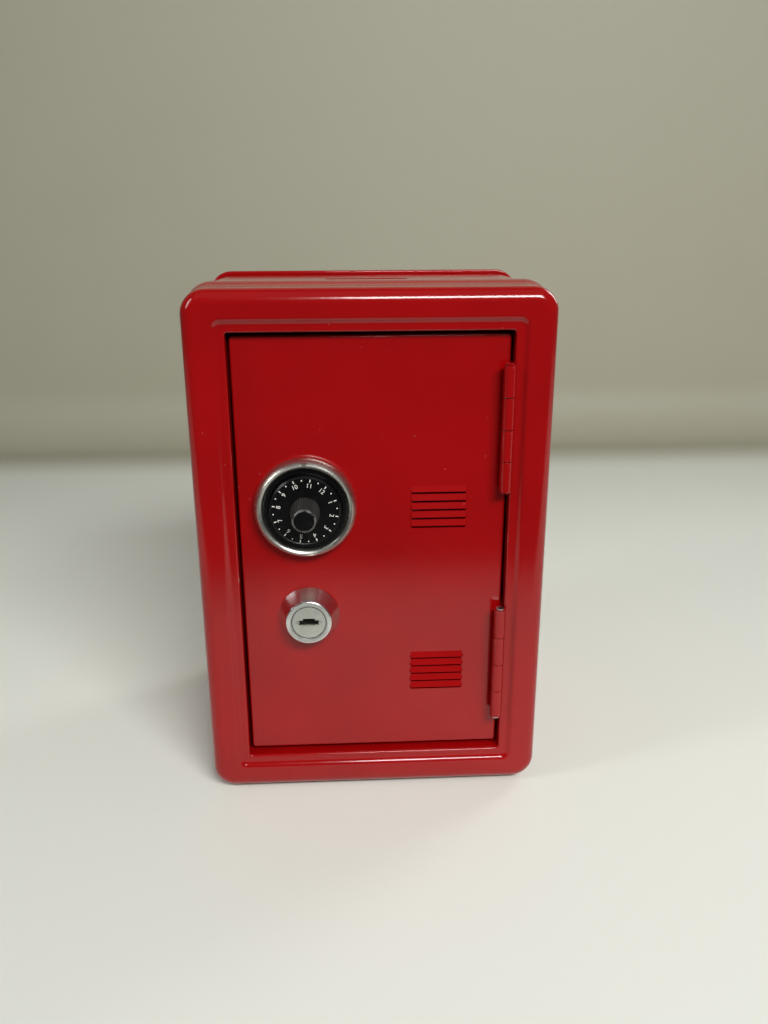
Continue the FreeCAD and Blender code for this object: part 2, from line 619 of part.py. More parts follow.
def lock_star_washer():
    """Toothed washer between the door and the nut."""
    blank = ring(STAR_WASHER_D, BARREL_THREAD_D + 2 * HOLE_CLEARANCE, SHEET, SHEET + STAR_WASHER_T,
                 LOCK_X, LOCK_Z)
    cuts = []
    notch_x = LOCK_X + (STAR_WASHER_D - STAR_NOTCH) / 2
    for index in range(STAR_TEETH):
        angle = 360.0 * index / STAR_TEETH
        cut = Part.makeBox(STAR_NOTCH, 3 * STAR_WASHER_T, STAR_NOTCH / 2,
                           V(notch_x, DOOR_Y + SHEET - STAR_WASHER_T, LOCK_Z))
        cut.rotate(V(LOCK_X, 0, LOCK_Z), V(0, 1, 0), angle)
        cuts.append(cut)
    return blank.cut(cuts)


def lock_nut():
    """Hexagon nut on the lock's barrel."""
    y0 = DOOR_Y + SHEET + STAR_WASHER_T
    corner = NUT_FLATS / 2 / math.cos(math.pi / 6)
    points = [V(LOCK_X + corner * math.cos(math.pi * k / 3), y0, LOCK_Z + corner * math.sin(math.pi * k / 3))
              for k in range(7)]
    blank = Part.Face(Part.makePolygon(points)).extrude(V(0, NUT_T, 0))
    bore = Part.makeCylinder(BARREL_THREAD_D / 2 + LAP_CLEARANCE, NUT_T, V(LOCK_X, y0, LOCK_Z), V(0, 1, 0))
    return blank.cut(bore)


def wafer_y(index):
    """Middle of one wafer, behind the door's face."""
    return WAFER_FIRST - CONE_HEIGHT / 2 + index * WAFER_PITCH


def upright_box(width, thick, tall, x, y, z):
    """Box centred on (x, z) about the lock's axis and on y behind the door's face."""
    return Part.makeBox(width, thick, tall,
                        V(LOCK_X + x - width / 2, DOOR_Y + y - thick / 2, LOCK_Z + z - tall / 2))


def spring_z():
    """Height of the wafer springs above the lock's axis."""
    return WAFER_H / 2 + SPRING_D / 2 + 2 * WAFER_CLEARANCE


def lock_plug():
    """Plug with its keyway, wafer slots, spring pockets, tail and square tang."""
    front = -CONE_HEIGHT + PLUG_RECESS
    end = plug_end()
    tail_end = CAM_Y - DOOR_Y
    body = ring(PLUG_D, 0, front, end, LOCK_X, LOCK_Z)
    tail = ring(TAIL_D, 0, end, tail_end, LOCK_X, LOCK_Z)
    tang = upright_box(TANG, CAM_T, TANG, 0, tail_end + CAM_T / 2, 0)
    last = wafer_y(WAFER_COUNT - 1) + WAFER_PITCH / 2
    key_length = last - front
    key_y = front + key_length / 2
    cuts = [upright_box(KEYWAY_W, key_length, KEYWAY_H, 0, key_y, 0),
            upright_box(KEYWAY_BUMP_W, key_length, KEYWAY_H + KEYWAY_BUMP_H, 0, key_y, KEYWAY_BUMP_H / 2)]
    for index in range(WAFER_COUNT):
        y = wafer_y(index)
        slot_t = WAFER_T + 2 * WAFER_CLEARANCE
        cuts.append(upright_box(PLUG_D, slot_t, WAFER_H + 2 * WAFER_CLEARANCE, 0, y, 0))
        pocket = SPRING_D + 2 * WAFER_CLEARANCE
        cuts.append(upright_box(SPRING_L + 2 * WAFER_CLEARANCE, pocket, pocket + 2 * WAFER_CLEARANCE, 0, y,
                                spring_z()))
    cuts.append(ring(CAM_SCREW_D, 0, tail_end + CAM_T - CAM_SCREW_L, tail_end + 2 * CAM_T, LOCK_X, LOCK_Z))
    return body.fuse([tail, tang]).cut(cuts).removeSplitter()


def lock_wafers():
    """Wafers drawn flush into the plug, each with its window for the key."""
    wafers = []
    window_w = KEYWAY_W + 2 * WAFER_CLEARANCE
    window_h = KEYWAY_H + 2 * KEYWAY_BUMP_H + 2 * WAFER_CLEARANCE
    for index in range(WAFER_COUNT):
        plate = upright_box(WAFER_L, WAFER_T, WAFER_H, 0, wafer_y(index), 0)
        window = upright_box(window_w, 2 * WAFER_T, window_h, 0, wafer_y(index), 0)
        wafers.append(plate.cut(window))
    return Part.makeCompound(wafers)


def lock_wafer_springs():
    """One small coil spring above each wafer, lying along X."""
    return Part.makeCompound([coil_spring(wafer_y(index)) for index in range(WAFER_COUNT)])


def coil_spring(y):
    """Open coil on quarter-turn arcs."""
    radius = (SPRING_D - SPRING_WIRE_D) / 2
    length = SPRING_L - SPRING_WIRE_D

    def at(turn):
        angle = 2 * math.pi * turn
        return V(LOCK_X - length / 2 + length * turn / SPRING_TURNS,
                 DOOR_Y + y + radius * math.cos(angle), LOCK_Z + spring_z() + radius * math.sin(angle))
    steps = 4 * SPRING_TURNS
    arcs = [Part.Arc(at(k / 4), at((k + 0.5) / 4), at((k + 1) / 4)).toShape() for k in range(steps)]
    start = arcs[0].valueAt(arcs[0].FirstParameter)
    heading = arcs[0].tangentAt(arcs[0].FirstParameter)
    wire_section = Part.Wire(Part.makeCircle(SPRING_WIRE_D / 2, start, heading))
    return Part.Wire(arcs).makePipeShell([wire_section], True, False)


def lock_cam():
    """Tongue on the plug's tang, hanging down when unlocked."""
    reach = LOCK_X + OPENING_HALF_W + CAM_CATCH
    plate = Part.makeBox(CAM_W, CAM_T, reach, V(LOCK_X - CAM_W / 2, CAM_Y, LOCK_Z - reach))
    tips = [edge for edge in plate.Edges
            if edge.BoundBox.ZMax < LOCK_Z - reach + LAP_CLEARANCE and edge.Length < CAM_T + LAP_CLEARANCE
            and edge.BoundBox.YLength > CAM_T / 2]
    plate = plate.makeFillet(CAM_TIP_R, tips)
    boss = Part.makeCylinder(CAM_W / 2, CAM_T, V(LOCK_X, CAM_Y, LOCK_Z), V(0, 1, 0))
    hole = upright_box(TANG + 2 * LAP_CLEARANCE, 3 * CAM_T, TANG + 2 * LAP_CLEARANCE, 0, CAM_Y - DOOR_Y, 0)
    return plate.fuse(boss).cut(hole).removeSplitter()


def cam_washer():
    """Washer behind the cam."""
    y0 = CAM_Y - DOOR_Y + CAM_T
    return ring(CAM_WASHER_D, CAM_SCREW_D + 2 * HOLE_CLEARANCE, y0, y0 + CAM_WASHER_T, LOCK_X, LOCK_Z)


def cam_screw():
    """Screw into the plug's tail."""
    seat = CAM_Y - DOOR_Y + CAM_T + CAM_WASHER_T
    return screw(CAM_SCREW_D - 2 * LAP_CLEARANCE, CAM_SCREW_L, CAM_SCREW_HEAD_D, CAM_SCREW_HEAD_H,
                 seat, LOCK_X, LOCK_Z)


def main():
    """Build every piece and write one file for each."""
    upper_z = MID_Z + DOOR_HALF_H - UPPER_HINGE_FROM_TOP - HINGE_LENGTH
    lower_z = MID_Z - DOOR_HALF_H + LOWER_HINGE_FROM_BOTTOM
    pieces = {
        "front_shell": front_shell(),
        "body_wrap": body_wrap(),
        "rear_shell": rear_shell(),
        "upper_hinge_frame_leaf": frame_leaf(upper_z),
        "lower_hinge_frame_leaf": frame_leaf(lower_z),
        "upper_hinge_pin": hinge_pin(upper_z),
        "lower_hinge_pin": hinge_pin(lower_z),
        "door_panel": door_panel(),
        "upper_hinge_door_leaf": door_leaf(upper_z),
        "lower_hinge_door_leaf": door_leaf(lower_z),
        "dial_bezel": dial_bezel(),
        "bezel_push_nut": bezel_push_nut(),
        "dial": dial(),
        "dial_spring_washer": dial_spring_washer(),
        "dial_retaining_washer": dial_retaining_washer(),
        "dial_screw": dial_screw(),
        "lock_housing": lock_housing(),
        "lock_star_washer": lock_star_washer(),
        "lock_nut": lock_nut(),
        "lock_plug": lock_plug(),
        "lock_wafers": lock_wafers(),
        "lock_wafer_springs": lock_wafer_springs(),
        "lock_cam": lock_cam(),
        "cam_washer": cam_washer(),
        "cam_screw": cam_screw(),
    }
    os.makedirs("parts", exist_ok=True)
    for name, shape in pieces.items():
        shape.exportStep("parts/" + name + ".step")
        box = shape.BoundBox
        print(name, "solids", len(shape.Solids), "valid", shape.isValid(), "volume", round(shape.Volume, 2),
              "box", [round(v, 2) for v in (box.XMin, box.YMin, box.ZMin, box.XMax, box.YMax, box.ZMax)])


if __name__ == "__main__":
    main()
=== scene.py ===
"""Dresses a small red money safe: baked enamel, chrome, nickel, black moulding and a printed dial."""

import json
import math

import bmesh
import bpy
from bpy.props import FloatProperty, FloatVectorProperty, IntProperty, PointerProperty
from mathutils import Matrix, Vector


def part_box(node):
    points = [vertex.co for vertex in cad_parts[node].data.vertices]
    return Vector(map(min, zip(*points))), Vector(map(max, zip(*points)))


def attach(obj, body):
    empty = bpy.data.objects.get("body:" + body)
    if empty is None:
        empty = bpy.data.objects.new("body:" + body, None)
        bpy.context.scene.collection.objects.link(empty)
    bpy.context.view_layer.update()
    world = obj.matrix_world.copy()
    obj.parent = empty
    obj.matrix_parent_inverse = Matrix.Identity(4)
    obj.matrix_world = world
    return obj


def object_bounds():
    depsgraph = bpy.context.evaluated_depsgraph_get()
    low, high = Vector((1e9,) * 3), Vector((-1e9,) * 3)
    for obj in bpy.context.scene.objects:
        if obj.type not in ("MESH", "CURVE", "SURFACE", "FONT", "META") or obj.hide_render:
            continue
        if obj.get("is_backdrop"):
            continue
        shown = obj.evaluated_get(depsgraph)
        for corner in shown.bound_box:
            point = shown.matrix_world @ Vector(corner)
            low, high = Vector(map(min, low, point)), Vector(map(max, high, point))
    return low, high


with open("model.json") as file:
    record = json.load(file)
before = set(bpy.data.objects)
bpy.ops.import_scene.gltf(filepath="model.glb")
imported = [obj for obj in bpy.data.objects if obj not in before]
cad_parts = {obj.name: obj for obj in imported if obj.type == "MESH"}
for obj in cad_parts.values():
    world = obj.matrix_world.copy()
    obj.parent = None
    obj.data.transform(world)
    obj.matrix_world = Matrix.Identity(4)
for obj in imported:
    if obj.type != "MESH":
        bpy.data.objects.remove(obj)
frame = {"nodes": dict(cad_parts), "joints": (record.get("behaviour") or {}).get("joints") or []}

bl_info = {
    "name": "Money Safe Dressing",
    "version": (1, 0, 0),
    "blender": (4, 5, 0),
    "location": "View3D > Sidebar > Safe",
    "description": "Finishes and printed dial of a small upright money safe, with a plain studio",
    "category": "Object",
}

CAD_LOW, CAD_HIGH = (Vector(corner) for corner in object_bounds())
NODES = frame["nodes"]
JOINTS = {joint["name"]: joint for joint in frame["joints"]}
MM = 0.001

PAINT_IOR = 1.46
PLASTIC_IOR = 1.4

# Chipped edges, measured by how far the rounded normal turns
EDGE_SAMPLES = 6
EDGE_TURN = (0.78, 0.97)

# Dark ring in the groove and key marks on the plug's face; a painted highlight round the knob's front
# rim and a grip rubbed grey and lightened by painted sheen
GROOVE_INNER = 5.60 * MM
GROOVE_OUTER = 6.02 * MM
GROOVE_FADE = 0.14 * MM
KEY_MARK_HALF_WIDTH = 4.7 * MM
KEY_MARK_HALF_HEIGHT = 1.5 * MM
KEY_MARK_FADE = (0.55, 1.15)
KEY_MARK_BLOT = 0.7 * MM
KEY_MARK_BREAKS = (0.40, 0.58)
KNOB_RIM_DEPTH = 0.5 * MM
KNOB_RIM_RADIUS = 3.2 * MM
GRIP_LENGTH = 9.0 * MM
GRIP_RADIUS = 3.6 * MM
KNOB_MARK_FADE = 0.15 * MM

DOT_SIDES = 20

# Stage, in metres
STAGE_HALF_WIDTH = 1.1
WALL_HEIGHT = 0.9
WALL_BEND = 0.05
WALL_FADE_START = 0.13
SHELF_DROP = 0.06
SHELF_EDGE = 0.02
ARC_STEPS = 10
KEY_SIZE = (0.75, 0.28)
KEY_PLACE = (0.35, -1.00, 0.94)
CEILING_SIZE = (1.4, 0.8)
CEILING_PLACE = (0.0, -0.35, 1.05)
FILL_SIZE = (0.16, 0.4)
REAR_FILL_SIZE = (0.22, 0.4)
LEFT_FILL_PLACE = (-0.72, -0.28, 0.55)
RIGHT_FILL_PLACE = (0.55, 0.38, 0.45)
FILL_SPREAD = math.radians(60)
FULL_SPREAD = math.radians(180)
SENSOR_WIDTH = 36.0
NEAR_CLIP = 0.01
FAR_CLIP = 20.0


def srgb(red, green, blue):
    """The linear colour of a screen colour whose channels run from 0 to 255."""
    return tuple(
        level / 12.92 if level <= 0.04045 else ((level + 0.055) / 1.055) ** 2.4
        for level in (red / 255, green / 255, blue / 255)
    )


def opaque(colour):
    """A colour with the alpha that colour sockets ask for."""
    return (*colour, 1.0)


# Colours of the finishes
CHROME = opaque(srgb(226, 226, 224))
CHROME_SMEAR = opaque(srgb(206, 206, 203))
BEZEL = opaque(srgb(214, 214, 206))
BEZEL_SMEAR = opaque(srgb(186, 186, 177))
TARNISH = opaque(srgb(96, 92, 86))
NICKEL = opaque(srgb(212, 214, 208))
NICKEL_STAIN = opaque(srgb(184, 186, 178))
KEY_MARK = opaque(srgb(104, 102, 92))
GROOVE_DARK = opaque(srgb(34, 33, 30))
ZINC = opaque(srgb(196, 197, 196))
ZINC_DULL = opaque(srgb(172, 172, 168))
BRASS = opaque(srgb(214, 178, 98))
BRASS_BROWN = opaque(srgb(158, 118, 58))
BLACK = opaque(srgb(5, 5, 6))
BLACK_WORN = opaque(srgb(14, 14, 14))
GRIP_RUB_AND_SHEEN = opaque(srgb(66, 65, 62))
PLASTIC_SCUFF = opaque(srgb(120, 118, 114))
RIM_HIGHLIGHT = opaque(srgb(112, 110, 106))
INK = opaque(srgb(236, 234, 226))
INK_THIN = opaque(srgb(214, 210, 200))


# Settings that a user may change

class EnamelSettings(bpy.types.PropertyGroup):
    """The baked red paint of the case, the door and the hinge leaves."""

    colour: FloatVectorProperty(
        name="Colour",
        description="Colour of the thick paint",
        subtype="COLOR", size=3, min=0, max=1, default=srgb(148, 6, 8),
    )
    thin_colour: FloatVectorProperty(
        name="Thin colour",
        description="Colour where the paint has run thinner",
        subtype="COLOR", size=3, min=0, max=1, default=srgb(140, 4, 6),
    )
    dust_colour: FloatVectorProperty(
        name="Dust colour",
        description="Colour of the specks of dust that lie on the paint",
        subtype="COLOR", size=3, min=0, max=1, default=srgb(196, 110, 104),
    )
    chip_colour: FloatVectorProperty(
        name="Chip colour",
        description="Colour of the small chips along sharp edges",
        subtype="COLOR", size=3, min=0, max=1, default=srgb(214, 150, 140),
    )
    roughness: FloatProperty(
        name="Roughness",
        description="Least roughness of the paint",
        subtype="FACTOR", min=0, max=1, default=0.09,
    )
    peel_size: FloatProperty(
        name="Orange peel size",
        description="Width of one dimple of the orange peel",
        unit="LENGTH", min=0.0002, default=1.6 * MM,
    )
    peel_depth: FloatProperty(
        name="Orange peel depth",
        description="Depth of the orange peel",
        unit="LENGTH", min=0, default=0.012 * MM,
    )


class PrintSettings(bpy.types.PropertyGroup):
    """The white print on the dial's number ring."""

    numbers: IntProperty(
        name="Numbers",
        description="How many numbers stand round the dial",
        min=1, default=12,
    )
    last_angle: FloatProperty(
        name="Angle of the last number",
        description="Clockwise angle from the top to the highest number, seen from the front",
        unit="ROTATION", default=math.radians(40.4),
    )
    number_height: FloatProperty(
        name="Number height",
        description="Height of a printed number",
        unit="LENGTH", min=0, default=1.45 * MM,
    )
    number_radius: FloatProperty(
        name="Number radius",
        description="Distance from the dial's centre to the middle of a number",
        unit="LENGTH", min=0, default=8.85 * MM,
    )
    mark_radius: FloatProperty(
        name="Mark radius",
        description="Distance from the dial's centre to the middle of a tick or dot",
        unit="LENGTH", min=0, default=10.5 * MM,
    )
    tick_length: FloatProperty(
        name="Tick length",
        description="Radial length of the tick outside each number",
        unit="LENGTH", min=0, default=0.9 * MM,
    )
    tick_width: FloatProperty(
        name="Tick width",
        description="Width of the tick outside each number",
        unit="LENGTH", min=0, default=0.34 * MM,
    )
    dot_diameter: FloatProperty(
        name="Dot diameter",
        description="Diameter of the dot midway between two numbers",
        unit="LENGTH", min=0, default=0.46 * MM,
    )
    ring_front: FloatProperty(
        name="Number ring front",
        description="How far the number ring stands ahead of the dial's joint",
        unit="LENGTH", default=5.8 * MM,
    )
    ink: FloatProperty(
        name="Ink thickness",
        description="Thickness of the print",
        unit="LENGTH", min=0, default=0.05 * MM,
    )


class StageSettings(bpy.types.PropertyGroup):
    """The shelf, the wall, the lamps and the camera."""

    shelf_colour: FloatVectorProperty(
        name="Shelf colour",
        description="Colour of the shelf that the safe stands on",
        subtype="COLOR", size=3, min=0, max=1, default=srgb(219, 221, 212),
    )
    # Painted shade: the shelf takes a darker colour at its front edge, over the strip set by the shelf
    # fade
    edge_colour: FloatVectorProperty(
        name="Shelf edge colour",
        description="Colour of the shelf at its front edge",
        subtype="COLOR", size=3, min=0, max=1, default=srgb(92, 91, 84),
    )
    wall_colour: FloatVectorProperty(
        name="Wall colour",
        description="Colour of the wall behind the safe",
        subtype="COLOR", size=3, min=0, max=1, default=srgb(166, 163, 143),
    )
    shelf_front: FloatProperty(
        name="Shelf front",
        description="How far the shelf reaches in front of the origin",
        unit="LENGTH", default=0.27,
    )
    shelf_fade: FloatProperty(
        name="Shelf fade",
        description="Depth of the strip over which the shelf darkens towards its front",
        unit="LENGTH", min=0.001, default=0.09,
    )
    wall_back: FloatProperty(
        name="Wall distance",
        description="How far the wall stands behind the origin",
        unit="LENGTH", default=0.50,
    )
    key_power: FloatProperty(
        name="Key lamp",
        description="Power of the soft lamp in front",
        unit="POWER", min=0, default=19.8,
    )
    ceiling_power: FloatProperty(
        name="Ceiling lamp",
        description="Power of the soft lamp overhead",
        unit="POWER", min=0, default=0.6,
    )
    fill_power: FloatProperty(
        name="Fill lamps",
        description="Power of each soft lamp beside and behind the safe",
        unit="POWER", min=0, default=0.2,
    )
    room_level: FloatProperty(
        name="Room level",
        description="Brightness of the dim room round the stage",
        min=0, default=0.085,
    )
    camera_place: FloatVectorProperty(
        name="Camera place",
        description="Where the camera stands",
        subtype="TRANSLATION", unit="LENGTH", size=3, default=(-0.0096, -0.31435, 0.1987),
    )
    camera_pitch: FloatProperty(
        name="Camera pitch",
        description="How far the camera looks down",
        unit="ROTATION", default=math.radians(18.71),
    )
    camera_yaw: FloatProperty(
        name="Camera yaw",
        description="How far the camera looks to the right",
        unit="ROTATION", default=math.radians(2.80),
    )
    camera_roll: FloatProperty(
        name="Camera roll",
        description="How far the camera leans",
        unit="ROTATION", default=math.radians(-0.23),
    )
    focal_length: FloatProperty(
        name="Focal length",
        description="Focal length in millimetres on a 36 mm sensor",
        min=1, default=30.375,
    )


# Shader expressions

class Flow:
    """An output of a shader node, so that a finish is written as a plain expression."""

    def __init__(self, tree, output=None):
        self.tree = tree
        self.output = output

    def node(self, kind, settings=None, sockets=None, output=0):
        """Adds a node, sets it up, feeds its sockets and returns one of its outputs."""
        made = self.tree.nodes.new(kind)
        for name, value in (settings or {}).items():
            setattr(made, name, value)
        for name, value in (sockets or {}).items():
            if isinstance(value, Flow):
                self.tree.links.new(value.output, made.inputs[name])
            else:
                made.inputs[name].default_value = value
        return Flow(self.tree, made.outputs[output]) if made.outputs else None

    def math(self, operation, first, second):
        """One Math node on two values."""
        return self.node("ShaderNodeMath", {"operation": operation}, {0: first, 1: second})

    def sine(self):
        """The sine of this value."""
        return self.node("ShaderNodeMath", {"operation": "SINE"}, {0: self})

    def __add__(self, other):
        return self.math("ADD", self, other)

    __radd__ = __add__

    def __sub__(self, other):
        return self.math("SUBTRACT", self, other)

    def __rsub__(self, other):
        return self.math("SUBTRACT", other, self)

    def __mul__(self, other):
        return self.math("MULTIPLY", self, other)

    __rmul__ = __mul__

    def __truediv__(self, other):
        return self.math("DIVIDE", self, other)

    def __rtruediv__(self, other):
        return self.math("DIVIDE", other, self)

    def __pow__(self, other):
        return self.math("POWER", self, other)

    def __lt__(self, other):
        return self.math("LESS_THAN", self, other)

    def between(self, low, high):
        """0 below low, 1 above high and a smooth rise between them."""
        sockets = {"Value": self, "From Min": low, "From Max": high}
        return self.node("ShaderNodeMapRange", {"interpolation_type": "SMOOTHSTEP"}, sockets)

    def blend(self, first, second):
        """Mixes two colours by this value."""
        return self.node("ShaderNodeMix", {"data_type": "RGBA"}, {0: self, 6: first, 7: second}, 2)

    def place(self):
        """The point of the surface in the object's own metres."""
        return self.node("ShaderNodeTexCoord", output="Object")

    def stretched(self, scale):
        """These coordinates, with each axis multiplied."""
        return self.node("ShaderNodeVectorMath", {"operation": "MULTIPLY"}, {0: self, 1: scale})

    def axis(self, name):
        """One coordinate of this vector."""
        return self.node("ShaderNodeSeparateXYZ", sockets={"Vector": self}, output=name)

    def from_axis(self, joint):
        """How far across and how far up these coordinates lie from a joint that turns about Y."""
        centre = JOINTS[joint]["pos_m"]
        return self.axis("X") - centre[0], self.axis("Z") - centre[2]

    def off_axis(self, joint):
        """The distance of these coordinates from the axis of a joint that turns about Y."""
        across, upward = self.from_axis(joint)
        return (across * across + upward * upward) ** 0.5

    def key_marks(self):
        """A broken mask of the scuffs that a key leaves round its slot."""
        across, upward = self.from_axis("lock_turn")
        across = across / KEY_MARK_HALF_WIDTH
        upward = upward / KEY_MARK_HALF_HEIGHT
        inside = 1 - (across * across + upward * upward).between(*KEY_MARK_FADE)
        return inside * self.noise(KEY_MARK_BLOT).between(*KEY_MARK_BREAKS)

    def lathe_rings(self, joint, pitch):
        """Fine turned rings about a joint's axis, from -1 to 1."""
        return (self.off_axis(joint) * (2 * math.pi / pitch)).sine()

    def cells(self, width):
        """A chance value from 0 to 1 for each irregular cell of about the given width."""
        sockets = {"Vector": self, "Scale": 1 / width}
        colour = self.node("ShaderNodeTexVoronoi", sockets=sockets, output="Color")
        return self.node("ShaderNodeSeparateColor", sockets={"Color": colour}, output="Red")

    def noise(self, feature, detail=2.0, roughness=0.5):
        """Soft noise on these coordinates, with blots of about the given width."""
        sockets = {"Vector": self, "Scale": 1 / feature, "Detail": detail, "Roughness": roughness}
        return self.node("ShaderNodeTexNoise", sockets=sockets)

    def specks(self, spacing, share, size):
        """A mask of round specks: cells of the given spacing, of which a share holds one."""
        sockets = {"Vector": self, "Scale": 1 / spacing}
        distance = self.node("ShaderNodeTexVoronoi", sockets=sockets, output="Distance")
        return (distance < size / spacing) * (self.cells(spacing) < share)

    def sharp_edges(self, reach):
        """A mask of the sharp edges, where a normal rounded over the reach leaves the surface's own."""
        rounded = self.node("ShaderNodeBevel", {"samples": EDGE_SAMPLES}, {"Radius": reach})
        own = self.node("ShaderNodeNewGeometry", output="Normal")
        product = {"operation": "DOT_PRODUCT"}
        along = self.node("ShaderNodeVectorMath", product, {0: rounded, 1: own}, "Value")
        return 1 - along.between(*EDGE_TURN)

    def bump(self, depth):
        """A surface normal bumped by this height."""
        sockets = {"Height": self, "Distance": depth, "Strength": 1.0}
        return self.node("ShaderNodeBump", sockets=sockets, output="Normal")


def finish_material(name, make):
    """A material whose Principled sockets come from a function that is given an empty flow."""
    material = bpy.data.materials.new(name)
    material.use_nodes = True
    material.node_tree.nodes.clear()
    flow = Flow(material.node_tree)
    shader = flow.node("ShaderNodeBsdfPrincipled", sockets=make(flow))
    flow.node("ShaderNodeOutputMaterial", sockets={"Surface": shader})
    return material


def made_once(name, make):
    """The material of that name, made the first time that a piece asks for it."""
    return bpy.data.materials.get(name) or finish_material(name, make)


# Finishes

def enamel(name, chipped):
    """Baked gloss enamel: slow changes of depth, orange peel and dust, and chips along worn edges."""
    settings = bpy.context.scene.safe_enamel

    def make(flow):
        place = flow.place()
        depth = place.noise(38 * MM, 3.0).between(0.3, 0.7)
        peel = place.noise(settings.peel_size, 2.0)
        cloud = place.noise(7 * MM, 4.0, 0.6)
        dust = place.specks(3.4 * MM, 0.16, 0.16 * MM)
        paint = depth.blend(opaque(settings.thin_colour), opaque(settings.colour))
        colour = (dust * 0.55).blend(paint, opaque(settings.dust_colour))
        roughness = cloud * 0.06 + settings.roughness + dust * 0.4
        if chipped:
            chip = flow.sharp_edges(0.2 * MM) * place.noise(0.7 * MM, 3.0, 0.6).between(0.54, 0.60)
            colour = (chip * 0.7).blend(colour, opaque(settings.chip_colour))
            roughness = roughness + chip * 0.3
        return {
            "Base Color": colour,
            "Roughness": roughness,
            "IOR": PAINT_IOR,
            "Normal": (peel + dust * 0.8).bump(settings.peel_depth),
        }

    return made_once(name, make)


def baked_enamel():
    """The sound paint of the case and the door."""
    return enamel("baked_enamel", False)


def chipped_enamel():
    """The paint of the hinges, which has chipped along their edges."""
    return enamel("chipped_enamel", True)


def bright_chrome():
    """Chrome plate over the fine rings of the lathe, with faint smears and specks of tarnish."""
    def make(flow):
        place = flow.place()
        rings = place.lathe_rings("lock_turn", 0.16 * MM)
        smear = place.noise(3.5 * MM, 3.0, 0.6)
        tarnish = place.specks(2.2 * MM, 0.12, 0.11 * MM)
        silver = smear.blend(CHROME, CHROME_SMEAR)
        return {
            "Base Color": (tarnish * 0.6).blend(silver, TARNISH),
            "Metallic": 1.0,
            "Roughness": smear * 0.14 + 0.14,
            "Normal": rings.bump(0.0064 * MM),
        }

    return made_once("bright_chrome", make)


def turned_bezel():
    """Plated brass cup with the fine rings of the lathe and a soft sheen."""
    def make(flow):
        place = flow.place()
        rings = place.lathe_rings("dial_spin", 0.22 * MM)
        smear = place.noise(4.0 * MM, 4.0, 0.6)
        tarnish = place.specks(2.2 * MM, 0.14, 0.12 * MM)
        silver = smear.blend(BEZEL, BEZEL_SMEAR)
        return {
            "Base Color": (tarnish * 0.6).blend(silver, TARNISH),
            "Metallic": 1.0,
            "Roughness": smear * 0.16 + rings * 0.03 + 0.22,
            "Normal": rings.bump(0.004 * MM),
        }

    return made_once("turned_bezel", make)


def satin_nickel():
    """Nickel plate, lightly pitted, with a darker ring in the groove round the plug's face and key
    marks.
    """
    def make(flow):
        place = flow.place()
        line = place.stretched((1.0, 1.0, 9.0)).noise(2.4 * MM, 4.0, 0.6)
        pit = place.noise(0.5 * MM, 3.0, 0.6)
        stain = place.noise(2.6 * MM, 3.0)
        radius = place.off_axis("lock_turn")
        # A darker, rougher and less metallic ring is painted in the groove round the plug's face
        inside = radius.between(GROOVE_INNER, GROOVE_INNER + GROOVE_FADE)
        outside = radius.between(GROOVE_OUTER, GROOVE_OUTER + GROOVE_FADE)
        groove = inside * (1 - outside)
        groove_dark = groove * place.noise(1.1 * MM, 2.0).between(0.24, 0.44)
        plate = stain.blend(NICKEL, NICKEL_STAIN)
        scuffed = place.key_marks()
        worn = (scuffed * 0.75).blend(plate, KEY_MARK)
        return {
            "Base Color": (groove_dark * 0.9).blend(worn, GROOVE_DARK),
            "Metallic": 1 - groove_dark * 0.8,
            "Roughness": line * 0.16 + pit * 0.16 + groove_dark * 0.3 + scuffed * 0.2 + 0.14,
            "Normal": (line * 0.4 + pit).bump(0.03 * MM),
        }

    return made_once("satin_nickel", make)


def zinc_steel():
    """Zinc-plated steel: pale crystals with a little dulling."""
    def make(flow):
        place = flow.place()
        grey = place.cells(1.8 * MM)
        dull = place.noise(4 * MM, 4.0, 0.6)
        return {
            "Base Color": grey.blend(ZINC, ZINC_DULL),
            "Metallic": 1.0,
            "Roughness": dull * 0.22 + grey * 0.06 + 0.18,
            "Normal": dull.bump(0.02 * MM),
        }

    return made_once("zinc_steel", make)


def wafer_brass():
    """Stamped brass, brightest on the faces and browner in blots."""
    def make(flow):
        place = flow.place()
        blot = place.noise(1.4 * MM, 4.0, 0.6)
        line = place.stretched((1.0, 16.0, 1.0)).noise(1.2 * MM, 3.0)
        return {
            "Base Color": blot.between(0.35, 0.75).blend(BRASS, BRASS_BROWN),
            "Metallic": 1.0,
            "Roughness": blot * 0.2 + line * 0.12 + 0.16,
            "Normal": line.bump(0.01 * MM),
        }

    return made_once("wafer_brass", make)


